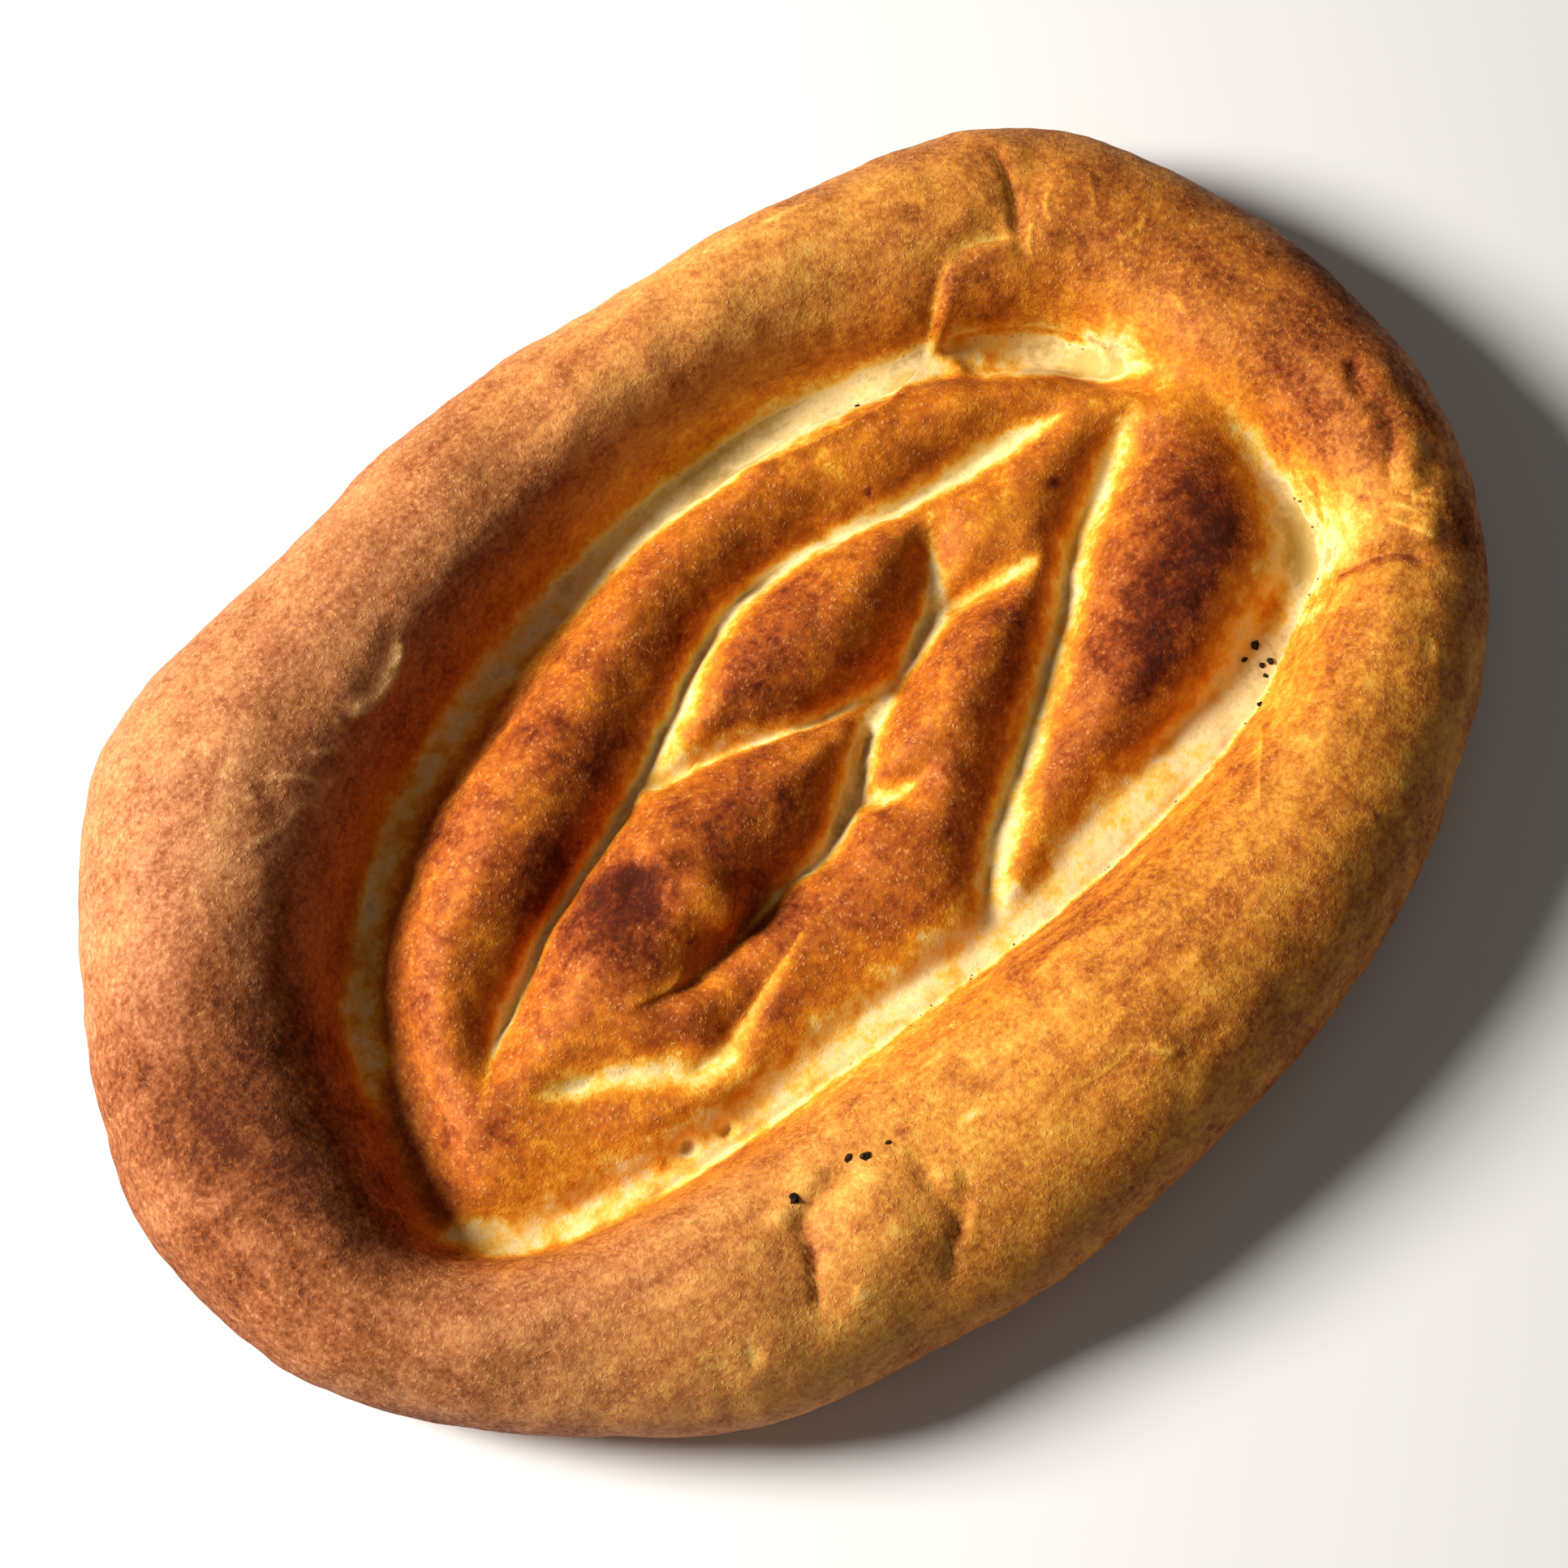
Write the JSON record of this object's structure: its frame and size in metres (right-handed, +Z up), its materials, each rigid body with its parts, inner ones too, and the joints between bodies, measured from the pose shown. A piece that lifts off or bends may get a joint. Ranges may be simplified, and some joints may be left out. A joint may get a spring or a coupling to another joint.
{
  "type": "flatbread",
  "caption": "Oval leavened flatbread with a puffed rim round a finger-pressed field of strips and lozenges, baked golden brown, lying on its flat base.",
  "frame": {"origin": "middle of the loaf's plan, on the plane of its flat base", "axes": "+X along the loaf's length, +Y across it, +Z up out of the browned top"},
  "size_m": [0.3388, 0.2378, 0.0446],
  "materials": {
    "crust": "baked bread crust, mottled golden brown, pale in the pressed grooves"
  },
  "bodies": {
    "root": {"loaf": "crust"}
  },
  "joints": []
}
